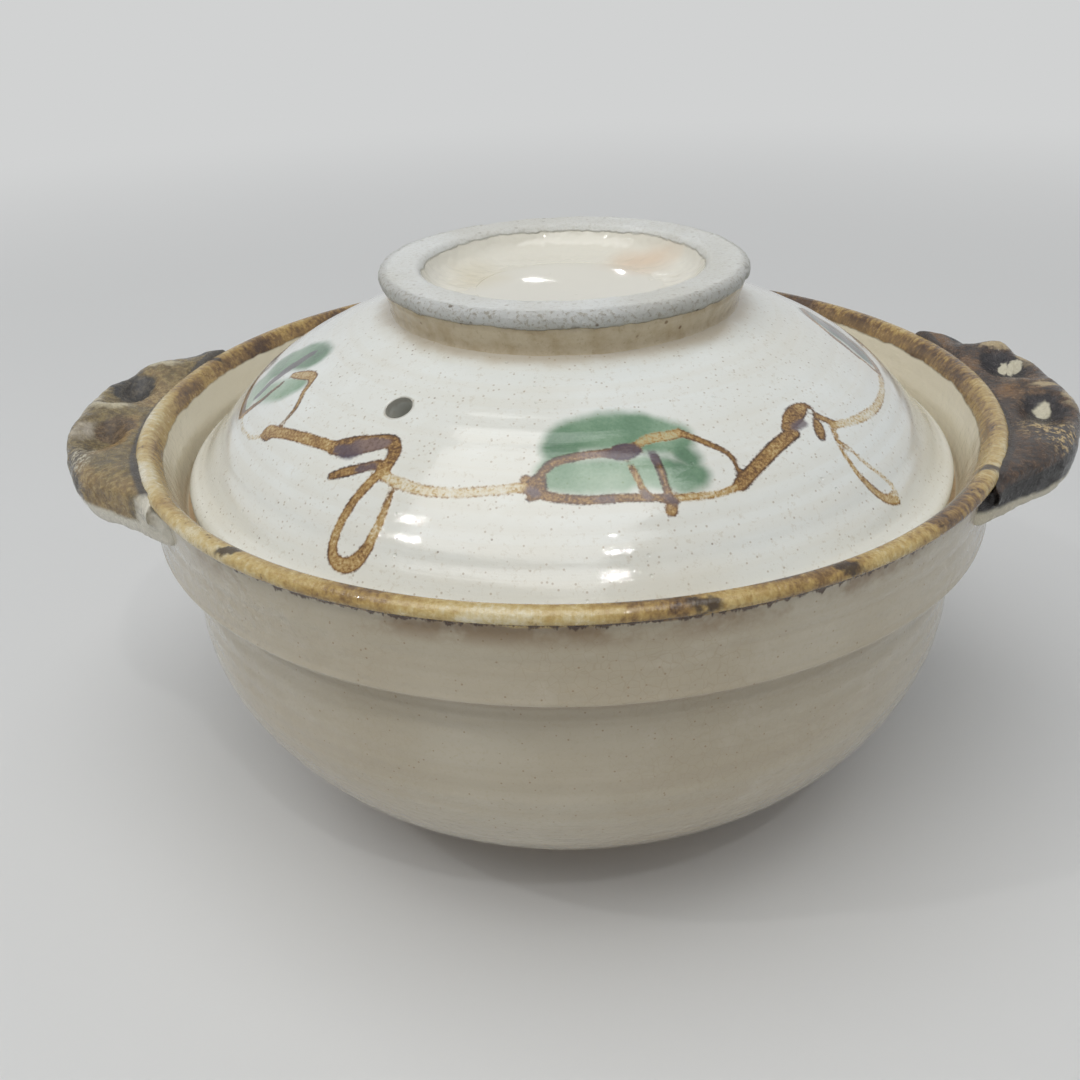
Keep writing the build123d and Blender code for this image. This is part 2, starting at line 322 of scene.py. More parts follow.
bowl_inside = [
    (0.0, 10.9), (6.0, 10.8), (12.0, 10.7), (18.0, 10.9), (24.0, 11.3), (30.0, 12.0),
    (36.0, 12.7), (42.0, 13.7), (48.0, 14.9), (54.0, 16.5), (59.5, 18.3), (64.5, 20.4),
    (69.0, 22.8), (73.0, 25.1), (76.6, 27.8), (79.6, 30.6), (82.2, 33.6), (84.4, 37.0),
    (86.2, 40.4), (87.5, 43.8), (88.6, 47.6), (89.2, 51.6), (89.7, 56.0), (89.7, 61.0),
    (89.5, 66.0), (89.1, 71.0), (88.8, 76.0), (88.5, 80.0), (88.5, 82.4), (88.65, 83.4),
    (89.15, 84.1), (90.0, 84.3), (92.4, 84.3), (94.4, 84.3), (95.4, 84.55), (96.05, 85.1),
    (96.4, 86.2), (97.0, 88.4), (97.5, 90.8), (98.15, 93.2), (98.75, 95.6), (99.3, 97.4),
    (99.9, 98.7), (100.6, 99.75), (101.3, 100.45), (102.0, 100.87),
]
bowl = turned("glazed_bowl", bowl_side + bowl_inside + bowl_side[:1], 256, 3)
uneven(bowl, 55, 0.45)
for vertex in bowl.data.vertices:
    vertex.co.z = max(vertex.co.z, 0)  # the foot is ground flat


def specks(finish, scale, size, share):
    """Iron specks that have melted through the glaze, one in some of the cells of a net."""
    cells = {"Vector": finish.place, "Scale": scale}
    near = finish.node("TexVoronoi", {}, cells, "Distance")
    pick = finish.node("TexVoronoi", {}, cells, "Color")
    pick = finish.node("SeparateColor", {}, {0: pick}, 0)
    return near.rise(size, size * 0.45) * pick.rise(1 - share, 1 - share * 0.8)


def crackle(finish, scale, width):
    """Fine net of cracks in the glaze."""
    edge = finish.node("TexVoronoi", {"feature": "DISTANCE_TO_EDGE"},
                       {"Vector": finish.wobbled(scale * 0.6, 0.6 / scale), "Scale": scale},
                       "Distance")
    return edge.rise(width, 0.0)


def patch(finish, middle, size, place, low=0.75, high=1.1):
    """1 inside a rounded patch about a point, with a soft edge; sizes are half widths in mm."""
    centre = tuple(v * mm for v in middle)
    spread = tuple(1 / (v * mm) for v in size)
    away = finish.node("VectorMath", {"operation": "SUBTRACT"}, {0: place, 1: centre})
    away = finish.node("VectorMath", {"operation": "MULTIPLY"}, {0: away, 1: spread})
    away = finish.node("VectorMath", {"operation": "LENGTH"}, {0: away}, "Value")
    return away.rise(high, low)


bowl_glaze = Finish("cream_glaze_on_bowl", 0.13, 0.3)
height = bowl_glaze.axis("Z")
radius = bowl_glaze.reach()
across = bowl_glaze.axis("X")
cloud = bowl_glaze.noise(16, 4)
mottle = bowl_glaze.noise(75, 5, roughness=0.62)
pores = bowl_glaze.noise(1100, 3, roughness=0.65)
# The rings that the fingers leave while the wheel turns.
rings = bowl_glaze.noise(240, 3, bowl_glaze.stretched((0.02, 0.02, 1)))
# Painted shade: the bowl's cream glaze is laid darker than the same glaze on the lid.
glaze = bowl_glaze.mix(cloud.rise(0.35, 0.68), (193, 184, 164), (180, 168, 144))
glaze = glaze.coat(mottle.rise(0.5, 0.8) * 0.4, (206, 198, 182))
glaze = glaze.coat(rings.rise(0.56, 0.36) * 0.3, (174, 160, 136))
glaze = glaze.coat(pores.rise(0.52, 0.7) * 0.3, (176, 162, 134))
cracked = crackle(bowl_glaze, 460, 0.05) * cloud.rise(0.46, 0.66)
glaze = glaze.coat(cracked * 0.2, (150, 130, 98))
glaze = glaze.coat(specks(bowl_glaze, 900, 0.24, 0.16) * 0.55, (134, 104, 66))
glaze = glaze.coat(specks(bowl_glaze, 150, 0.1, 0.12) * 0.75, (92, 66, 40))
# Glaze gathers warmer in the groove, which is darkened further as painted shade under the band.
# Towards the foot the glaze thins, and the pinkish grey painted there is a painted reflection.
edge_wave = bowl_glaze.noise(120, 3) - 0.5
outside = radius.rise(94.0, 96.0)
groove_pool_and_shade = height.rise(73.0, 76.5) * height.rise(80.0, 78.8)
glaze = glaze.coat(groove_pool_and_shade * outside * 0.8, (130, 104, 80))
# Painted reflection: pinkish grey low on the bowl, where the glaze also thins.
thin_glaze_and_reflection = (height + (cloud - 0.5) * 16 + (rings - 0.5) * 14).rise(30.0, 14.0)
glaze = glaze.coat(thin_glaze_and_reflection * 0.55, (192, 174, 158))
# Iron round the lip: gold where it's thin, breaking to cream on the edge, brown where it lies
# thick. It runs in short streaks across the lip.
round_lip = bowl_glaze.node("VectorMath", {"operation": "MULTIPLY"},
                            {0: bowl_glaze.place, 1: (1, 1, 0)})
round_lip = bowl_glaze.node("VectorMath", {"operation": "NORMALIZE"}, {0: round_lip})
lip_place = bowl_glaze.node("VectorMath", {"operation": "ADD"}, {
    0: round_lip, 1: bowl_glaze.node("CombineXYZ", {}, {2: (radius + height) * 0.0018})})
lip_top = (height + edge_wave * 2.0).rise(96.9, 97.5)
iron_tone = bowl_glaze.noise(38, 5, roughness=0.68)
lip_streak = bowl_glaze.noise(95, 4, lip_place, roughness=0.66)
iron_fine = bowl_glaze.noise(700, 3, roughness=0.68)
lip_edge = radius.rise(102.2, 104.2) * height.rise(98.0, 99.2)
streaky = across.rise(20.0, 80.0)
left_thin = across.rise(-40.0, -95.0)
inside_thick = radius.rise(102.0, 100.2)
# Painted shade: the iron on the far half of the lip is laid darker.
rear_shade = bowl_glaze.axis("Y").rise(-10.0, 50.0)
thinness = (iron_tone * 0.62 + lip_streak * (0.1 + streaky * 0.22) + iron_fine * 0.26
            - streaky * 0.09 + left_thin * 0.07 - across * 0.0003 + lip_edge * 0.04
            - inside_thick * 0.07 - rear_shade * 0.085 - 0.015)
iron = bowl_glaze.node("ValToRGB", {"stops": [
    (0.34, (74, 50, 28)), (0.41, (122, 92, 50)), (0.48, (168, 138, 78)),
    (0.55, (192, 168, 110)), (0.62, (208, 194, 156)), (0.70, (218, 210, 188))]},
    {0: thinness})
clots = bowl_glaze.noise(150, 4, roughness=0.7) + (iron_fine - 0.5) * 0.4
iron = iron.coat(clots.rise(0.36, 0.26) * 0.8, (52, 32, 16))
for spot in ((-65.3, -80.1, 100.9), (50.2, -90.9, 100.7), (23.0, -101.7, 100.3),
             (88.0, -52.5, 100.4), (-98.0, 30.0, 100.9), (-34.0, 97.0, 100.9)):
    blot = patch(bowl_glaze, spot, (4.2, 1.7, 2.4), bowl_glaze.wobbled(500, 3 * mm), 0.5, 1.0)
    iron = iron.coat(blot * 0.9, (42, 26, 14))
# A dark broken line of iron lies under the bead, deepened as painted shade under its overhang,
# with a brown bleed below it.
line_wave = bowl_glaze.noise(62, 4, lip_place, roughness=0.6) - 0.5
side = radius.rise(102.2, 102.8)
bleed = (height.rise(91.0, 96.0) * height.rise(98.4, 97.6) * side
         * (iron_tone + across * 0.0006).rise(0.44, 0.62))
glaze = glaze.coat(bleed * 0.75, (128, 100, 62))
glaze = glaze.coat(lip_top, iron)
# Partly painted shade under the bead's overhang.
line = ((height + line_wave * 4.5 + (iron_fine - 0.5) * 1.2).rise(96.6, 97.2)
        * height.rise(98.5, 98.0) * side
        * (bowl_glaze.noise(12, 4, lip_place) + iron_fine * 0.4).rise(0.42, 0.58))
glaze = glaze.coat(line * 0.92, (66, 38, 18))
# It also stains the wall inside the lip, where the glaze itself is paler than outside.
inner_wall = radius.rise(101.0, 99.9) * height.rise(88.0, 98.0)
glaze = glaze.coat(inner_wall * iron_tone.rise(0.38, 0.62) * 0.4, (166, 136, 90))
gallery = radius.rise(101.0, 99.9) * height.rise(83.0, 85.0) * (1 - lip_top)
glaze = glaze.coat(gallery * 0.8, (228, 219, 196))
# Bare clay on the ledge and under the foot.
ledge = ((height + edge_wave).rise(83.4, 84.0) * height.rise(85.0, 84.6)
         * radius.rise(88.4, 88.9) * radius.rise(97.0, 95.8))
foot = (height + edge_wave * 2.5).rise(5.4, 4.6)
bare = bowl_glaze.most(ledge, foot)
clay_grain = bowl_glaze.noise(900, 4, roughness=0.7)
clay = bowl_glaze.mix(clay_grain, (188, 160, 122), (214, 190, 154))
bowl_glaze.set("Base Color", glaze.coat(bare, clay))
bowl_glaze.set("Roughness", 0.06 + mottle.rise(0.4, 0.75) * 0.1 + thin_glaze_and_reflection * 0.18
               + lip_top * iron_fine * 0.3 + bare * 0.6)
bowl_glaze.set("Coat Weight", 0.3 - bare * 0.3)
# Orange peel all over, and dents from the fingers on the left of the band.
peel = bowl_glaze.noise(230, 4, roughness=0.6)
dents = patch(bowl_glaze, (-58, -84, 88), (34, 30, 9), bowl_glaze.wobbled(60, 20 * mm), 0.2, 1.1)
bowl_glaze.bump(rings * 0.3 + mottle * 0.24 + peel * (0.42 + dents * 0.9)
                + pores * (0.03 + thin_glaze_and_reflection * 0.1) + clay_grain * bare * 0.25
                + (iron_fine + lip_streak) * lip_top * 0.22 + thin_glaze_and_reflection * rings * 0.5, 0.9 * mm)
bowl_glaze.dress(bowl)
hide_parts("pot_bowl")
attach(bowl, "pot")


# Lug handles
# Each is a roll of clay pinched flat, pressed with the thumb and luted on under the lip, then
# dipped in iron glaze, which breaks to gold on the ridges and pools near black in the hollows,
# where a blue-grey tint is laid on as a painted reflection.
luting_radius = 104.4
luting_height = 96.7
luting_thickness = 5.4
luting_from = 87.0        # the roll begins this far across the pot
tuck_radius = 103.8       # within this the lug is tucked in towards the bowl
tuck_share = 0.984
solid_weld = 0.01         # points of the solid nearer than this are one
clay_grid = 0.6           # spacing of the points on the softened clay
drawn_from = radians(12)  # past this angle the rear end is drawn in along the lip


def lug(name, node, side, drawn_share):
    """Handle softened from its solid, on a roll of luting clay under the lip."""
    bpy.ops.object.select_all(action="DESELECT")
    bpy.ops.mesh.primitive_torus_add(
        major_radius=luting_radius * mm, minor_radius=luting_thickness / 2 * mm,
        major_segments=240, minor_segments=20, location=(0, 0, luting_height * mm))
    bpy.ops.object.transform_apply(location=True, rotation=False, scale=False)
    roll = bpy.context.object
    bpy.ops.object.mode_set(mode="EDIT")
    bpy.ops.mesh.select_mode(type="VERT")
    bpy.ops.mesh.select_all(action="DESELECT")
    bpy.ops.object.mode_set(mode="OBJECT")
    for vertex in roll.data.vertices:
        vertex.select = vertex.co.x * side < luting_from * mm
    bpy.ops.object.mode_set(mode="EDIT")
    bpy.ops.mesh.delete(type="VERT")
    bpy.ops.mesh.select_all(action="SELECT")
    bpy.ops.mesh.fill_holes(sides=0)
    bpy.ops.object.mode_set(mode="OBJECT")
    bpy.ops.object.select_all(action="DESELECT")
    piece = bpy.data.objects.new(name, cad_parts[node].data.copy())
    bpy.context.scene.collection.objects.link(piece)
    bpy.context.view_layer.objects.active = piece
    piece.select_set(True)
    bpy.ops.object.mode_set(mode="EDIT")
    bpy.ops.mesh.select_all(action="SELECT")
    bpy.ops.mesh.remove_doubles(threshold=solid_weld * mm)
    bpy.ops.mesh.select_all(action="DESELECT")
    bpy.ops.object.mode_set(mode="OBJECT")
    for vertex in piece.data.vertices:
        vertex.select = Vector(vertex.co[:2]).length < tuck_radius * mm
    bpy.ops.object.mode_set(mode="EDIT")
    bpy.ops.transform.resize(value=(tuck_share, tuck_share, 1), center_override=(0, 0, 0))
    bpy.ops.object.mode_set(mode="OBJECT")
    roll.select_set(True)
    bpy.ops.object.join()
    modified(piece, "REMESH", mode="VOXEL", voxel_size=clay_grid * mm, use_smooth_shade=True)
    modified(piece, "SMOOTH", iterations=6, factor=0.5)
    for vertex in piece.data.vertices:
        angle = atan2(vertex.co.y, vertex.co.x * side)
        if angle > drawn_from:
            reach = Vector(vertex.co[:2]).length
            angle = drawn_from + (angle - drawn_from) * drawn_share
            vertex.co.x = reach * cos(angle) * side
            vertex.co.y = reach * sin(angle)
    return piece


def spots_on(piece):
    """Places of the piece's vertices in mm."""
    spots = numpy.empty(len(piece.data.vertices) * 3)
    piece.data.vertices.foreach_get("co", spots)
    return spots.reshape(-1, 3) / mm


def pressed(piece, middle, size, move):
    """Push the clay about a point, as a thumb does; the push fades out over the size."""
    spots = spots_on(piece)
    near = numpy.exp(-(((spots - middle) / size) ** 2).sum(axis=1))
    spots += near[:, None] * numpy.array(move)
    piece.data.vertices.foreach_set("co", (spots * mm).ravel())
    piece.data.update()


right_lug = lug("right_lug", "handle_right", 1, 0.37)
for middle, size, move in (
        ((114.6, 12.5, 98.0), (4.0, 6.0, 4.0), (0, 0, -1.9)),
        ((113.4, -15.5, 98.0), (4.0, 6.0, 4.0), (0, 0, -1.9)),
        ((122.0, 15.0, 97.5), (3.0, 8.0, 3.6), (0.6, 0, 1.2)),
        ((121.0, -13.0, 97.5), (3.0, 8.0, 3.6), (0.6, 0, 1.0)),
        ((116.5, 23.5, 100.0), (6.0, 3.0, 4.0), (0.9, 0, 1.5)),
        ((112.0, 29.0, 100.0), (8.0, 2.4, 4.0), (0, 0, -1.2)),
        ((107.5, 34.0, 99.0), (6.0, 3.2, 4.0), (0.6, 0, 0.9)),
        ((99.5, 35.0, 98.5), (6.0, 9.0, 4.0), (0, 0, 1.8)),
        ((115.0, -1.5, 100.0), (5.5, 3.2, 4.0), (0.4, 0, 0.8)),
        ((104.5, -39.0, 100.0), (7.0, 6.0, 4.0), (0, 0, 0.7))):
    pressed(right_lug, middle, size, move)
uneven(right_lug, 9, 0.8)
uneven(right_lug, 2.5, 0.3)


def iron_glaze(name):
    """Iron glaze with its wavy place, broad and fine mottling, and height and radius in mm."""
    finish = Finish(name, 0.2, 0.1)
    return (finish, finish.wobbled(330, 4.5 * mm), finish.noise(48, 4, roughness=0.6),
            finish.noise(650, 4, roughness=0.72), finish.axis("Z"), finish.reach())


right_iron, loose, broad, fine, height, radius = iron_glaze("iron_glaze_right")
tone = right_iron.mix(fine.rise(0.38, 0.66), (46, 35, 30), (92, 70, 52))
tone = tone.coat(broad.rise(0.52, 0.66) * 0.6,
                 right_iron.mix(fine.rise(0.4, 0.62), (76, 56, 40), (136, 106, 72)))
by_lip = right_iron.most(patch(right_iron, (107.0, 14.0, 99.5), (3.4, 6.0, 4), loose, 0.5, 1.1),
                         patch(right_iron, (108.6, -6.5, 99.5), (3.2, 5.0, 4), loose, 0.5, 1.1),
                         patch(right_iron, (102.0, 34.0, 99.5), (6.0, 12.0, 4), loose, 0.5, 1.1))
tone = tone.coat(by_lip * 0.5, right_iron.mix(fine, (112, 76, 44), (160, 122, 76)))
# Dark pools of iron in the hollows and behind the rear lobe, each hollow with a bare cream island.
# Their blue-grey tint is a painted reflection.
pools_and_reflection = right_iron.most(patch(right_iron, (114.6, 13.5, 98), (7.2, 8.6, 4.5), loose),
                        patch(right_iron, (114.8, -15.0, 98), (5.4, 7.6, 4.0), loose),
                        patch(right_iron, (109.0, 33.0, 100), (4.4, 3.4, 4), loose))
tone = tone.coat(pools_and_reflection * 0.92, right_iron.mix(fine.rise(0.4, 0.7), (30, 29, 34), (60, 57, 60)))
crest = right_iron.most(
    patch(right_iron, (116.0, 22.8, 101.0), (6.0, 1.7, 2.6), loose, 0.4, 1.1),
    patch(right_iron, (121.6, 17.5, 98.5), (2.4, 8.0, 3.0), loose, 0.3, 1.1),
    patch(right_iron, (119.0, -5.0, 100.2), (4.4, 1.6, 2.2), loose, 0.4, 1.1),
    patch(right_iron, (121.4, -12.0, 98.8), (2.0, 6.0, 2.6), loose, 0.3, 1.1))
tone = tone.coat(crest * 0.9, right_iron.mix(fine, (160, 134, 94), (214, 198, 160)))
middle_ridge = patch(right_iron, (114.6, 0.0, 100.5), (6.0, 3.6, 3.0), loose, 0.4, 1.1)
tone = tone.coat(middle_ridge * 0.7, right_iron.mix(fine, (88, 76, 66), (140, 126, 108)))
cream = right_iron.most(patch(right_iron, (118.4, 13.6, 97.4), (2.0, 3.6, 4), loose, 0.8, 1.0),
                        patch(right_iron, (115.8, 14.6, 97.4), (1.7, 2.6, 4), loose, 0.6, 1.0),
                        patch(right_iron, (115.0, -14.0, 97.4), (2.2, 3.4, 4), loose, 0.6, 1.05))
tone = tone.coat(cream, right_iron.mix(fine, (196, 188, 162), (214, 208, 186)))
# Gold grains over the front lobe, then the black band round its end, which is painted shade
# on the glossy end face.
grains = patch(right_iron, (111.0, -33.0, 100), (10.0, 12.0, 5), loose, 0.4, 1.1)
tone = tone.coat(grains * 0.6, (44, 33, 29))
tone = tone.coat(grains * fine.rise(0.49, 0.57), (190, 164, 114))
front_end = 97.36                      # from the wheel's axis to the slanted front end
front_end_way = (0.5736, -0.8192, 0)   # square to it, 55 degrees round to the front
past_end = right_iron.node("VectorMath", {"operation": "DOT_PRODUCT"},
                           {0: loose, 1: front_end_way}, "Value") * 1000 - front_end
# Painted shade on the lug's end face.
end_shade = (height + (broad - 0.5) * 3).rise(98.2, 97.0)
tone = tone.coat(past_end.rise(-4.4, -3.0) * end_shade, (20, 17, 16))
# Painted shade in the groove between the lug and the lip.
seam_shade = radius.rise(106.6, 105.6) * broad.rise(0.3, 0.45)
tone = tone.coat(seam_shade * 0.8, (50, 44, 42))
beneath = (height + (broad - 0.5) * 5).rise(93.6, 92.2)
tone = tone.coat(beneath, right_iron.mix(broad, (198, 188, 162), (214, 207, 188)))
right_iron.set("Base Color", tone)
right_iron.set("Roughness", 0.08 + fine.rise(0.42, 0.66) * 0.24)
right_iron.set("Specular IOR Level", 0.4)
right_iron.bump(broad * 0.4 + fine * 0.95, 0.8 * mm)
right_iron.dress(right_lug)
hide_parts("handle_right")
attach(right_lug, "pot")

left_lug = lug("left_lug", "handle_left", -1, 0.45)
for middle, size, move in (
        ((-115.0, 14.0, 98.0), (4.2, 6.0, 4.0), (0, 0, -1.9)),
        ((-112.5, -15.5, 98.0), (4.0, 6.4, 4.0), (0, 0, -1.7)),
        ((-122.0, 13.0, 97.5), (3.4, 9.0, 3.6), (-0.4, 0, 1.6)),
        ((-120.5, -14.0, 97.5), (3.0, 8.0, 3.6), (-0.4, 0, 0.9)),
        ((-112.0, 26.0, 100.0), (8.0, 3.6, 4.0), (-0.3, 0, 0.9)),
        ((-99.5, 33.5, 98.5), (6.0, 9.0, 4.0), (0, 0, 1.4)),
        ((-115.5, -1.5, 100.0), (6.5, 3.2, 4.0), (-0.4, 0, 0.9)),
        ((-101.5, -38.0, 100.0), (8.0, 6.0, 4.0), (0, 0, 0.7))):
    pressed(left_lug, middle, size, move)
uneven(left_lug, 9, 0.8)
uneven(left_lug, 2.5, 0.3)

left_iron, loose, broad, fine, height, radius = iron_glaze("iron_glaze_left")
tone = left_iron.mix(fine.rise(0.32, 0.72), (92, 78, 52), (142, 126, 88))
tone = tone.coat(broad.rise(0.5, 0.64) * 0.8,
                 left_iron.mix(fine.rise(0.34, 0.68), (128, 102, 62), (174, 150, 104)))
tone = tone.coat(broad.rise(0.44, 0.3) * 0.5, (110, 106, 82))
inner_strip = patch(left_iron, (-108.5, -20.0, 99.5), (3.6, 16.0, 4), loose, 0.5, 1.1)
tone = tone.coat(inner_strip * 0.8, left_iron.mix(fine, (126, 96, 52), (180, 148, 92)))
# Dark pools of iron in the hollows, their blue-grey tint a painted reflection.
pools_and_reflection = left_iron.most(patch(left_iron, (-117.0, 15.0, 98), (6.8, 7.6, 4.5), loose),
                       patch(left_iron, (-106.0, 34.0, 100), (6.0, 4.0, 4), loose))
tone = tone.coat(pools_and_reflection * 0.9, left_iron.mix(fine.rise(0.4, 0.7), (48, 50, 54), (88, 84, 78)))
brown_pool = patch(left_iron, (-111.5, -13.0, 98), (5.4, 6.6, 4.0), loose)
tone = tone.coat(brown_pool * 0.85,
                 left_iron.mix(fine.rise(0.4, 0.66), (70, 54, 40), (112, 90, 66)))
milky = patch(left_iron, (-119.0, -14.5, 97.5), (3.0, 7.0, 4), loose, 0.4, 1.1)
tone = tone.coat(milky * 0.85, left_iron.mix(fine, (162, 150, 134), (204, 196, 180)))
crest = left_iron.most(
    patch(left_iron, (-116.5, -2.0, 101.0), (7.0, 3.2, 2.8), loose, 0.4, 1.1),
    patch(left_iron, (-122.6, 1.0, 98.5), (2.2, 14.0, 3.0), loose, 0.3, 1.1),
    patch(left_iron, (-112.0, 26.0, 101.0), (7.0, 2.0, 2.4), loose, 0.4, 1.1))
tone = tone.coat(crest * 0.9, left_iron.mix(fine, (178, 164, 130), (218, 210, 184)))
front_ridge = patch(left_iron, (-112.5, -32.0, 99.5), (6.0, 9.0, 3.0), loose, 0.4, 1.1)
tone = tone.coat(front_ridge * fine.rise(0.46, 0.6) * 0.8, (196, 190, 172))
dark_grains = patch(left_iron, (-116.5, -30.0, 98.5), (6.0, 11.0, 5.0), loose, 0.5, 1.1)
tone = tone.coat(dark_grains * fine.rise(0.52, 0.42) * 0.8, (58, 48, 32))
low_edge = patch(left_iron, (-113.0, -36.0, 95.6), (11.0, 10.0, 3.4), loose, 0.5, 1.1)
tone = tone.coat(low_edge * fine.rise(0.66, 0.5) * 0.9, (50, 42, 26))
# Painted shade in the groove between the lug and the lip.
seam_shade = radius.rise(106.5, 105.6) * broad.rise(0.3, 0.45)
tone = tone.coat(seam_shade * 0.85, (62, 60, 60))
beneath = left_iron.most((height + (broad - 0.5) * 5).rise(94.6, 93.2),
                         patch(left_iron, (-89.0, -57.5, 95.0), (8.4, 6.4, 9.0), loose, 0.6, 0.9))
tone = tone.coat(beneath, left_iron.mix(broad, (198, 191, 172), (220, 216, 203)))
left_iron.set("Base Color", tone)
left_iron.set("Roughness", 0.1 + fine.rise(0.42, 0.66) * 0.3)
left_iron.set("Specular IOR Level", 0.4)
left_iron.bump(broad * 0.4 + fine * 0.75, 0.8 * mm)
left_iron.dress(left_lug)
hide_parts("handle_left")
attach(left_lug, "pot")


# Lid
# Thrown like a shallow bowl, turned over, pierced once for steam and dipped in white cream
# glaze. A vine is brushed on in iron brown, with leaves washed in copper green.
lid_top = [
    (0.0, 126.3), (8.0, 126.5), (15.0, 126.85), (20.0, 127.15), (24.0, 127.35), (28.0, 127.3),
    (32.0, 127.05), (36.0, 126.25), (39.5, 125.3), (42.5, 124.3), (45.5, 123.1), (48.5, 121.9),
    (51.5, 120.75), (54.5, 119.45), (57.5, 118.25), (60.0, 117.05), (62.5, 115.95), (65.0, 114.6),
    (67.5, 113.4), (70.0, 111.9), (72.3, 110.55), (74.5, 108.9), (76.6, 107.4), (78.6, 105.65),
    (80.4, 104.0), (82.2, 102.1), (84.0, 100.25), (85.6, 98.4), (87.2, 96.6), (88.8, 94.75),
    (90.2, 93.1), (91.4, 92.0), (92.4, 91.2), (93.4, 90.55), (94.2, 89.85), (94.7, 89.05),
]
lid_under = [
    (94.8, 88.2), (94.8, 87.0), (94.8, 85.8), (94.6, 84.9), (94.1, 84.45), (93.4, 84.3),
    (91.4, 84.3), (89.2, 84.3), (88.5, 84.45), (88.15, 85.0), (87.1, 87.2), (84.6, 90.4),
    (81.2, 94.2), (77.6, 98.1), (73.6, 102.0), (69.2, 105.3), (64.0, 108.4), (58.6, 111.1),
    (52.6, 113.8), (46.4, 116.45), (40.4, 118.6), (34.6, 120.3), (28.0, 120.85), (18.0, 120.75),
    (8.0, 120.55), (0.0, 120.5),
]
lid = turned("glazed_lid", lid_top + lid_under, 448, 3)
uneven(lid, 60, 0.4)

steam_hole_width = 6.0
steam_hole_azimuth = radians(-35)
steam_hole_radius = 60.6
steam_hole_height = 116.8
steam_hole_slope = 0.5
punch_length = 30
outward = Vector((sin(steam_hole_azimuth), -cos(steam_hole_azimuth), 0))
hole_middle = (outward * steam_hole_radius + Vector((0, 0, steam_hole_height))) * mm
hole_way = (outward * steam_hole_slope + Vector((0, 0, 1))).normalized()
bpy.ops.object.select_all(action="DESELECT")
bpy.ops.mesh.primitive_cylinder_add(vertices=48, radius=steam_hole_width / 2 * mm,
                                    depth=punch_length * mm, location=hole_middle)
punch = bpy.context.object
punch.rotation_euler = hole_way.to_track_quat("Z", "Y").to_euler()
bpy.ops.object.select_all(action="DESELECT")
bpy.context.view_layer.objects.active = lid
lid.select_set(True)
modified(lid, "BOOLEAN", object=punch, operation="DIFFERENCE", solver="MANIFOLD")
bpy.data.objects.remove(punch)

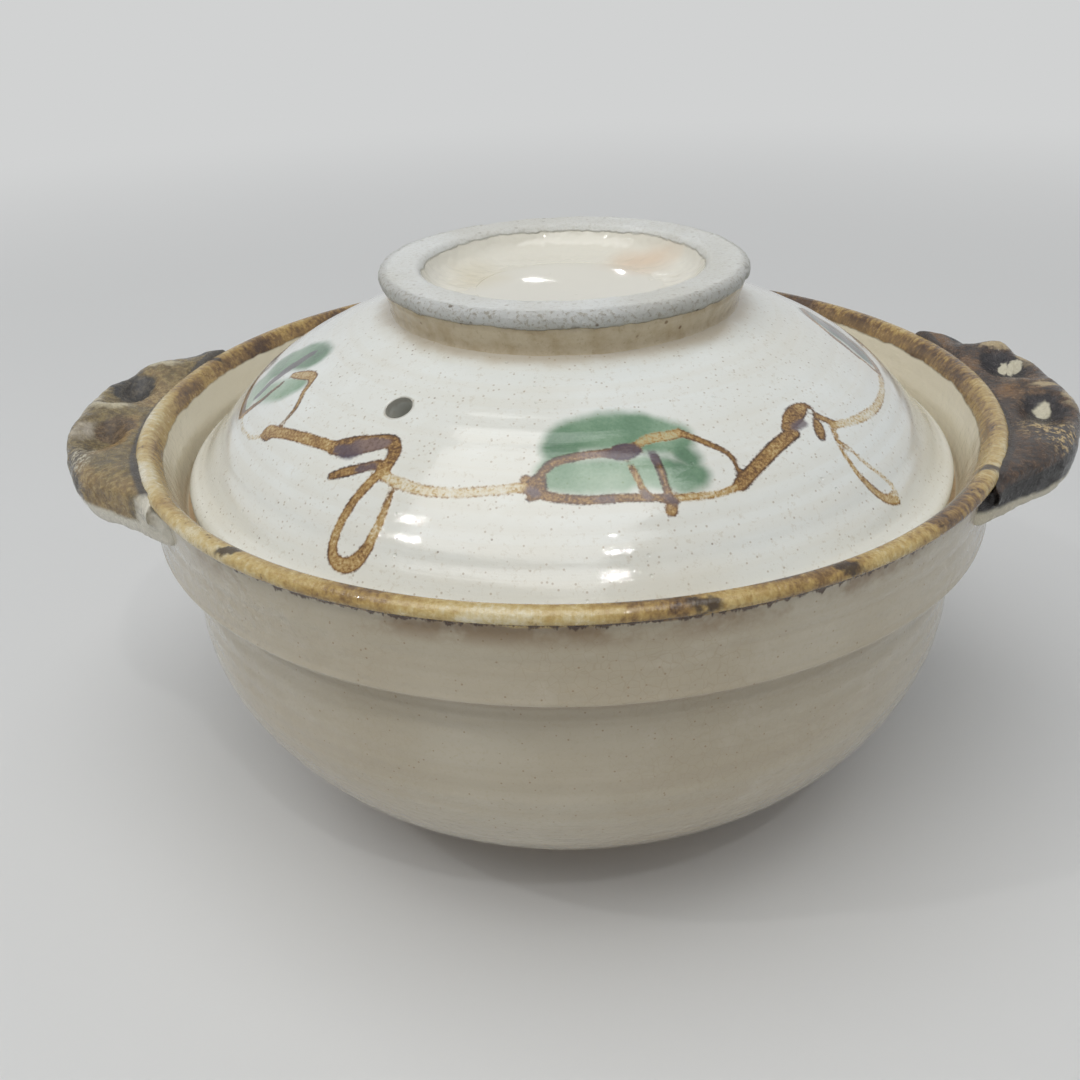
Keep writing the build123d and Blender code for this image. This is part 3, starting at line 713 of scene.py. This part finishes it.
# The brush strokes, each as (ink load, points of (across, depth, width)) on the lid's plan in mm.
# First the vine in iron: stalks, bow, loop, the middle leaf with its veins, knot and tendril.
vine_strokes = [
    (0.41, [(-66.4, -38.2, 4.4), (-62.8, -41.4, 3.6), (-59.4, -44.5, 3.4), (-53.4, -49.9, 3.5),
            (-48.4, -54.2, 3.4)]),
    (0.63, [(-67.2, -38.0, 3.2), (-65.8, -39.6, 4.2)]),
    (0.58, [(-48.2, -54.4, 4.2), (-44.4, -55.8, 5.8), (-40.0, -57.0, 5.0), (-35.6, -58.2, 4.0),
            (-34.7, -61.0, 3.6), (-36.4, -64.0, 3.2)]),
    (0.54, [(-48.2, -60.6, 2.4), (-44.6, -61.3, 2.9), (-41.2, -61.9, 2.7), (-37.4, -62.4, 2.6)]),
    (0.44, [(-36.4, -63.8, 3.2), (-39.2, -65.4, 2.9), (-42.4, -67.4, 2.7), (-45.2, -69.8, 2.7),
            (-46.8, -72.4, 2.8), (-46.6, -74.8, 3.2), (-44.4, -76.7, 3.8), (-41.8, -77.1, 4.0),
            (-39.4, -76.0, 3.2)]),
    (0.28, [(-39.4, -76.0, 3.0), (-37.5, -73.8, 2.6), (-35.9, -71.2, 2.2), (-34.4, -68.0, 1.4)]),
    (0.11, [(-36.8, -65.2, 2.4), (-33.8, -67.3, 3.0), (-30.4, -69.4, 3.0), (-26.9, -71.0, 2.9),
            (-20.9, -72.6, 2.7), (-13.1, -73.3, 2.7), (-8.6, -73.3, 2.9)]),
    (0.61, [(-8.2, -72.1, 2.8), (-6.9, -72.9, 3.6), (-5.3, -72.2, 2.8), (-5.6, -74.4, 3.0),
            (-7.2, -75.2, 2.6)]),
    (0.56, [(-5.3, -71.3, 2.4), (-2.7, -69.1, 2.6), (2.5, -67.9, 2.6), (7.7, -67.2, 2.8),
            (10.8, -66.8, 4.4), (13.2, -66.0, 3.2)]),
    (0.13, [(13.0, -65.3, 2.0), (16.3, -63.3, 3.0), (19.5, -62.4, 3.0), (22.0, -61.3, 2.8)]),
    (0.47, [(22.0, -61.1, 2.6), (24.9, -61.9, 2.2), (28.0, -62.8, 2.0), (31.1, -63.7, 1.8),
            (33.0, -65.6, 1.7), (33.4, -68.6, 1.7)]),
    (0.54, [(-6.4, -74.4, 3.0), (-2.8, -75.5, 2.7), (2.7, -76.1, 2.6), (7.3, -75.8, 2.6),
            (12.4, -75.3, 2.4), (16.5, -74.9, 2.4), (20.1, -74.5, 2.4)]),
    (0.23, [(20.7, -74.4, 2.2), (24.9, -73.4, 2.1), (29.1, -72.1, 2.0), (33.0, -70.0, 2.1)]),
    (0.37, [(12.2, -69.6, 1.8), (13.6, -72.4, 2.0), (15.0, -74.8, 2.2)]),
    (0.56, [(16.8, -67.2, 2.0), (17.9, -69.9, 2.1), (18.7, -72.8, 2.2), (19.6, -74.9, 3.0),
            (19.5, -76.6, 3.2)]),
    (0.51, [(33.6, -69.4, 3.6), (37.4, -64.9, 3.5), (41.9, -59.5, 3.6), (46.2, -54.6, 3.6)]),
    (0.54, [(44.8, -54.0, 3.0), (46.5, -50.8, 4.6), (48.4, -47.8, 4.2), (50.3, -45.6, 2.0),
            (51.8, -45.8, 1.4), (52.1, -48.6, 2.0), (52.3, -51.0, 3.4), (52.5, -52.8, 2.4)]),
    (0.44, [(52.3, -47.4, 2.2), (54.4, -47.5, 2.4), (56.4, -47.6, 2.4)]),
    (0.13, [(56.4, -47.6, 2.4), (60.7, -44.0, 2.7), (65.5, -38.6, 2.8), (69.7, -31.8, 2.5),
            (72.6, -24.0, 2.3), (74.2, -16.6, 2.2)]),
    (0.28, [(55.5, -47.9, 2.0), (56.6, -52.8, 1.9), (59.0, -55.8, 1.9), (62.4, -57.2, 2.2),
            (66.1, -57.0, 2.8), (68.6, -55.2, 3.6)]),
    (0.09, [(68.8, -54.6, 2.6), (68.4, -52.9, 2.0), (65.7, -52.7, 1.7), (61.4, -52.7, 1.6),
            (58.0, -51.6, 1.5)]),
    (0.54, [(74.4, -14.6, 2.0), (73.8, -8.6, 2.4), (70.6, -1.6, 2.6), (66.4, 4.6, 2.6),
            (61.0, 10.4, 2.2)]),
    (0.46, [(74.6, -15.4, 1.8), (68.6, -11.6, 2.0), (64.0, -5.2, 2.2), (61.0, 1.6, 2.2),
            (60.0, 9.6, 2.0)]),
    (0.62, [(-77.0, -21.2, 3.0), (-77.9, -13.1, 2.8), (-77.6, -2.6, 2.4), (-72.7, 0.2, 1.8)]),
    (0.60, [(-77.0, -21.4, 2.8), (-73.6, -22.6, 2.4), (-69.4, -22.6, 2.2), (-66.0, -21.2, 1.8)]),
    (0.34, [(-63.4, -20.4, 2.6), (-60.6, -23.0, 3.6), (-57.6, -26.2, 3.2), (-57.6, -28.6, 2.2),
            (-58.8, -31.4, 1.9), (-59.4, -34.8, 1.7), (-60.9, -37.7, 1.6), (-63.4, -39.2, 1.6)]),
    (0.04, [(-76.8, -21.8, 1.4), (-75.0, -28.4, 1.5), (-71.4, -35.1, 1.6), (-67.0, -39.0, 1.8)]),
]
# Then the places where the iron lies thickest and has turned plum and blue in the fire.
plum_strokes = [
    (0.85, [(-47.4, -55.2, 2.6), (-44.6, -57.0, 3.8), (-42.2, -57.8, 2.4)]),
    (0.35, [(-43.0, -56.2, 3.4), (-39.4, -57.4, 3.6), (-36.6, -58.2, 2.4)]),
    (0.75, [(-42.2, -61.8, 1.8), (-38.8, -62.4, 2.0)]),
    (0.90, [(9.0, -67.2, 3.0), (10.8, -66.8, 4.4), (12.8, -66.2, 3.4)]),
    (0.35, [(2.5, -67.9, 1.6), (7.7, -67.3, 2.2)]),
    (0.55, [(14.4, -74.2, 2.0), (15.2, -75.0, 2.2)]),
    (0.70, [(16.6, -66.8, 2.0), (17.2, -68.2, 1.8)]),
    (0.55, [(5.0, -76.0, 1.6), (8.6, -75.8, 1.6)]),
    (0.75, [(18.8, -74.6, 2.2), (20.2, -75.0, 2.4)]),
    (0.65, [(46.6, -53.2, 2.2), (48.8, -51.0, 2.4)]),
    (0.60, [(-7.6, -73.8, 2.0), (-6.2, -74.6, 2.2)]),
    (0.95, [(-73.6, -18.6, 2.4), (-69.2, -16.2, 3.6), (-65.0, -14.6, 4.4), (-60.2, -13.2, 3.2)]),
    (0.60, [(70.8, -8.4, 2.6), (67.0, -1.6, 3.0), (62.8, 4.6, 2.6)]),
]
# The leaves are washed over in copper green with a wide wet brush.
leaf_washes = [
    (0.60, [(-1.0, -66.0, 8.0), (0.4, -63.6, 8.0), (6.0, -62.6, 9.6)]),
    (0.50, [(7.0, -62.6, 10.0), (14.0, -62.0, 10.0), (21.0, -62.6, 8.5)]),
    (0.40, [(-3.0, -71.6, 7.0), (4.0, -72.2, 8.6), (10.0, -71.8, 8.4)]),
    (0.45, [(13.0, -70.8, 8.0), (18.6, -70.6, 8.0)]),
    (0.80, [(22.0, -65.0, 5.0), (24.0, -66.8, 5.0)]),
    (0.55, [(22.0, -70.6, 8.0), (24.6, -69.6, 6.5)]),
    (0.30, [(-75.4, -18.6, 5.0), (-73.6, -12.0, 9.0)]),
    (0.62, [(-68.6, -9.0, 12.0), (-62.6, -11.6, 12.0), (-58.8, -16.4, 9.0)]),
    (0.45, [(-70.6, -20.4, 7.0), (-65.4, -24.4, 8.0), (-61.4, -26.4, 6.0)]),
    (0.95, [(72.0, -9.6, 6.0), (68.6, -3.2, 9.0), (63.6, 3.8, 8.0), (61.0, 8.4, 4.0)]),
]


unpainted = -9.0    # depth of a spot that is away from every stroke
stroke_step = 0.25  # of the way from one point of a stroke to the next
stroke_edge = 14    # a stroke is looked for this far round its points


def brushed(strokes, spots, blend):
    """How deep each spot lies inside the nearest stroke in mm, and the load of ink there."""
    top_radius, top_height = numpy.array(lid_top).T
    depth = numpy.full(len(spots), unpainted)
    share = numpy.full(len(spots), 1e-12)
    load = numpy.zeros(len(spots))
    for ink, points in strokes:
        route = numpy.array(points, float)
        ends = numpy.vstack([2 * route[0] - route[1], route, 2 * route[-1] - route[-2]])
        smooth = []
        for before, start, stop, after in zip(ends, ends[1:], ends[2:], ends[3:]):
            for way in numpy.arange(0, 1, stroke_step):
                smooth.append(0.5 * (2 * start + (stop - before) * way
                                     + (2 * before - 5 * start + 4 * stop - after) * way ** 2
                                     + (3 * start - before - 3 * stop + after) * way ** 3))
        smooth.append(route[-1])
        smooth = numpy.array(smooth)
        rise = numpy.interp(numpy.hypot(smooth[:, 0], smooth[:, 1]), top_radius, top_height)
        line = numpy.column_stack([smooth[:, :2], rise])
        span = numpy.ptp(route[:, :2], axis=0).max() / 2 + stroke_edge
        middle = (route[:, :2].min(axis=0) + route[:, :2].max(axis=0)) / 2
        close = numpy.flatnonzero(numpy.abs(spots[:, :2] - middle).max(axis=1) < span)
        for first, second, wide, wide_next in zip(line, line[1:], smooth[:, 2], smooth[1:, 2]):
            along = second - first
            away = spots[close] - first
            part = numpy.clip(away @ along / max(along @ along, 1e-9), 0, 1)
            inside = ((wide + (wide_next - wide) * part) / 2
                      - numpy.linalg.norm(away - part[:, None] * along, axis=1))
            weight = numpy.exp(inside / blend)
            share[close] += weight
            load[close] += weight * ink
            depth[close] = numpy.maximum(depth[close], inside)
    return depth, load / share


spots = spots_on(lid)
for paint, strokes, blend in (("vine", vine_strokes, 0.35), ("plum", plum_strokes, 0.6),
                              ("leaf", leaf_washes, 1.8)):
    for word, values in zip(("depth", "load"), brushed(strokes, spots, blend)):
        layer = lid.data.attributes.new(paint + "_" + word, "FLOAT", "POINT")
        layer.data.foreach_set("value", values.astype(numpy.float32))

lid_glaze = Finish("white_cream_glaze_on_lid", 0.1, 0.3)


def painted(name):
    return lid_glaze.node("Attribute", {"attribute_name": name}, {}, "Fac")


height = lid_glaze.axis("Z")
radius = lid_glaze.reach()
cloud = lid_glaze.noise(18, 4)
mottle = lid_glaze.noise(90, 5, roughness=0.6)
grain = lid_glaze.noise(1500, 3, roughness=0.65)
flat_rings = lid_glaze.node("CombineXYZ", {}, {0: radius * 0.001, 1: height * 0.001})
rings = lid_glaze.noise(330, 3, flat_rings)
wide_rings = lid_glaze.noise(150, 1, flat_rings)
glaze = lid_glaze.mix(cloud.rise(0.35, 0.7), (227, 230, 226), (221, 220, 210))
glaze = glaze.coat(mottle.rise(0.5, 0.8) * 0.4, (234, 237, 234))
glaze = glaze.coat(rings.rise(0.55, 0.38) * 0.16, (210, 202, 182))
glaze = glaze.coat((radius + (cloud - 0.5) * 18).rise(78.0, 94.0) * 0.3, (221, 215, 199))
# Painted reflection of the pot's warm inner wall on the right of the lid.
wall_reflection = patch(lid_glaze, (70, 10, 102), (22, 40, 20), lid_glaze.wobbled(30, 30 * mm), 0.3, 1.1)
glaze = glaze.coat(wall_reflection * 0.35, (210, 194, 168))
# Fine pits and iron specks all over.
freckle = lid_glaze.noise(800, 4, roughness=0.75)
glaze = glaze.coat(freckle.rise(0.55, 0.68) * 0.34, (186, 174, 150))
glaze = glaze.coat(specks(lid_glaze, 950, 0.3, 0.22) * 0.5, (150, 126, 92))
glaze = glaze.coat(specks(lid_glaze, 480, 0.15, 0.08) * 0.65, (112, 88, 60))
glaze = glaze.coat(specks(lid_glaze, 120, 0.07, 0.16) * 0.85, (66, 48, 32))


def dish_stains(finish, glaze):
    """Cream glaze of the dish, which runs up the inside of the knob, with its two stains."""
    stain_place = finish.wobbled(60, 14 * mm)
    glaze = glaze.coat(finish.reach().rise(38.0, 34.0), (223, 219, 205))
    yellow = patch(finish, (-23, 8, 128), (11, 15, 9), stain_place, 0.1, 1.1)
    glaze = glaze.coat(yellow * 0.45, (208, 194, 156))
    peach = patch(finish, (21, 17, 128), (12, 12, 9), stain_place, 0.1, 1.1)
    return glaze.coat(peach * 0.55, (214, 180, 144))


glaze = dish_stains(lid_glaze, glaze)
# Painted shade round the foot of the knob, where glaze also gathers.
knob_foot = (radius + (mottle - 0.5) * 5).rise(46.6, 42.6) * radius.rise(38.0, 41.0)
glaze = glaze.coat(knob_foot * 0.55, (178, 158, 126))
# Copper green first, thin and watery with cloudy edges, darker where the brush was full.
green_tone = lid_glaze.noise(75, 4, lid_glaze.stretched((1, 1, 1), shift=(0.3, 0.1, 0)))
leaf_depth = painted("leaf_depth") + (green_tone - 0.5) * 3.0 + (mottle - 0.5) * 2.0
leaf_load = painted("leaf_load") + (green_tone - 0.5) * 0.8 + (grain - 0.5) * 0.16
wash = leaf_depth.rise(-1.4, 1.7)
green = lid_glaze.node("ValToRGB", {"stops": [
    (0.10, (152, 182, 148)), (0.38, (116, 156, 118)), (0.62, (80, 126, 88)),
    (0.88, (46, 84, 60))]}, {0: leaf_load})
rear = lid_glaze.axis("X").rise(40.0, 60.0)
green = green.coat(rear * 0.5, (58, 92, 90))
glaze = glaze.coat(wash * (0.5 + leaf_load.rise(0.0, 0.8) * 0.45), green)
# Then the iron: golden and grainy where it's thin, brown where the brush rests, with a darker
# edge, and plum or blue where it's thickest.
vine_depth = painted("vine_depth") + (grain - 0.5) * 0.9 + (mottle - 0.5) * 0.8
ink = painted("vine_load") + (lid_glaze.noise(160, 4, roughness=0.7) - 0.5) * 0.7
stroke = vine_depth.rise(-0.05, 0.5)
rim = stroke * vine_depth.rise(0.9, 0.3)
brown = lid_glaze.node("ValToRGB", {"stops": [
    (0.02, (206, 188, 144)), (0.22, (186, 158, 104)), (0.42, (156, 120, 66)),
    (0.62, (110, 76, 38)), (0.85, (72, 48, 26)), (1.0, (48, 34, 24))]},
    {0: ink + (grain - 0.5) * 1.3 + rim * (0.12 + mottle.rise(0.4, 0.6) * 0.3)
        + wash * 0.06 - 0.06})
glaze = glaze.coat(stroke * (ink + (grain - 0.5) * 0.8).rise(-0.25, 0.3), brown)
plum_depth = painted("plum_depth") + (grain - 0.5) * 0.8 + (mottle - 0.5) * 1.2
plum = lid_glaze.mix(painted("plum_load") + (mottle - 0.5) * 0.8, (142, 120, 112), (60, 53, 76))
plum = plum.coat(grain.rise(0.5, 0.64) * 0.5, (92, 70, 56))
glaze = glaze.coat(plum_depth.rise(-0.4, 0.6) * 0.85, plum)
# Painted shade down the top of the steam hole's wall, with a thin rim of gathered glaze round it.
hole_shade_and_pool = patch(lid_glaze, tuple(v / mm for v in hole_middle), (3.6, 3.6, 3.6),
                  lid_glaze.wobbled(400, 0.8 * mm), 0.86, 1.0)
glaze = glaze.coat(hole_shade_and_pool * 0.45, (150, 140, 118))
# The seat is wiped bare.
wiped = (height + (mottle - 0.5) * 2).rise(85.6, 84.9) * radius.rise(86.5, 88.0)
clay_grain = lid_glaze.noise(900, 4, roughness=0.7)
clay = lid_glaze.mix(clay_grain, (190, 164, 128), (216, 194, 160))
lid_glaze.set("Base Color", glaze.coat(wiped, clay))
in_dish = radius.rise(38.0, 34.0)
lid_glaze.set("Roughness", 0.04 + mottle.rise(0.4, 0.75) * 0.06 * (1 - in_dish)
              + stroke * 0.08 + wiped * 0.6)
lid_glaze.set("Coat Weight", 0.3 - wiped * 0.3)
lid_glaze.bump((rings * 0.12 + wide_rings * radius.rise(76.0, 84.0) * 0.9 + mottle * 0.13
                + grain * 0.03)
               * (1 - in_dish * 0.85) + clay_grain * wiped * 0.25 + stroke * 0.05
               - specks(lid_glaze, 330, 0.14, 0.2) * 0.14, 0.8 * mm)
lid_glaze.dress(lid)
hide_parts("lid_dome")
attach(lid, "lid")


# Ring knob
# A turned foot of the same clay, luted on top of the lid. Its top is wiped free of glaze, so
# the rough white clay shows, chipped here and there at the edge.
knob_section = [
    (43.0, 123.4), (42.1, 124.4), (41.95, 125.4), (42.3, 126.8), (42.7, 128.2), (43.05, 129.4),
    (43.15, 130.2), (43.4, 130.7), (43.9, 131.1), (44.15, 131.7), (44.2, 132.4), (44.1, 133.1),
    (43.7, 133.7), (43.0, 134.0), (42.0, 134.1), (40.2, 134.1), (38.0, 134.1), (36.2, 134.1),
    (35.2, 134.0), (34.5, 133.6), (34.0, 132.9), (33.4, 131.8), (32.6, 130.6), (31.4, 129.5),
    (29.8, 128.7), (27.6, 128.05), (24.8, 127.6), (22.4, 127.3), (21.0, 127.0), (24.0, 126.4),
    (30.0, 125.4), (36.0, 124.0), (39.5, 123.2), (43.0, 123.4),
]
knob = turned("knob_ring_foot", knob_section, 480, 4)
uneven(knob, 26, 0.5)
uneven(knob, 5, 0.35)
uneven(knob, 1.8, 0.22)
for middle, size, move in (
        ((2.2, -43.6, 130.9), (1.0, 1.0, 0.7), (0, 0.9, 0)),
        ((-20.0, -39.4, 131.2), (0.8, 0.8, 0.6), (0.3, 0.6, 0)),
        ((41.6, -14.6, 131.0), (1.2, 1.8, 1.0), (-1.1, 0.4, 0)),
        ((42.2, -12.0, 133.4), (1.4, 1.2, 0.6), (-0.5, 0.2, -0.3))):
    pressed(knob, middle, size, move)

knob_clay = Finish("bare_white_clay", 0.8)
height = knob_clay.axis("Z")
radius = knob_clay.reach()
grain = knob_clay.noise(1000, 5, roughness=0.75)
lumps = knob_clay.noise(190, 4, roughness=0.6)
cloud = knob_clay.noise(40, 3)
white = knob_clay.mix(cloud.rise(0.35, 0.7), (226, 227, 223), (214, 213, 205))
side = radius.rise(41.6, 43.4)
white = white.coat(grain.rise(0.5, 0.64) * (0.3 + side * 0.5), (176, 168, 150))
white = white.coat(specks(knob_clay, 420, 0.28, 0.2) * (0.3 + side * 0.5), (118, 102, 80))
ragged = (lumps - 0.5) * 2.0 + (grain - 0.5) * 0.9
glazed = knob_clay.most(
    (height + ragged).rise(130.7, 130.3) * radius.rise(38.0, 39.0),
    (height + ragged).rise(132.9, 132.3) * radius.rise(38.0, 37.0))
# Partly painted shade: the glazed neck under the overhanging top is darker and browner than the
# lid.
neck = knob_clay.mix(lumps.rise(0.35, 0.7), (200, 186, 158), (182, 164, 132))
neck = neck.coat(grain.rise(0.5, 0.72) * 0.4, (150, 128, 94))
neck = neck.coat(specks(knob_clay, 320, 0.2, 0.25) * 0.75, (110, 80, 48))
neck = dish_stains(knob_clay, neck)
knob_clay.set("Base Color", white.coat(glazed, neck))
knob_clay.set("Roughness", 0.8 - glazed * 0.75)
knob_clay.bump((grain * (0.5 + side * 0.9) + lumps * 0.3) * (1 - glazed * 0.93), 0.8 * mm)
knob_clay.dress(knob)
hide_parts("knob_ring")
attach(knob, "lid")


bpy.context.view_layer.update()
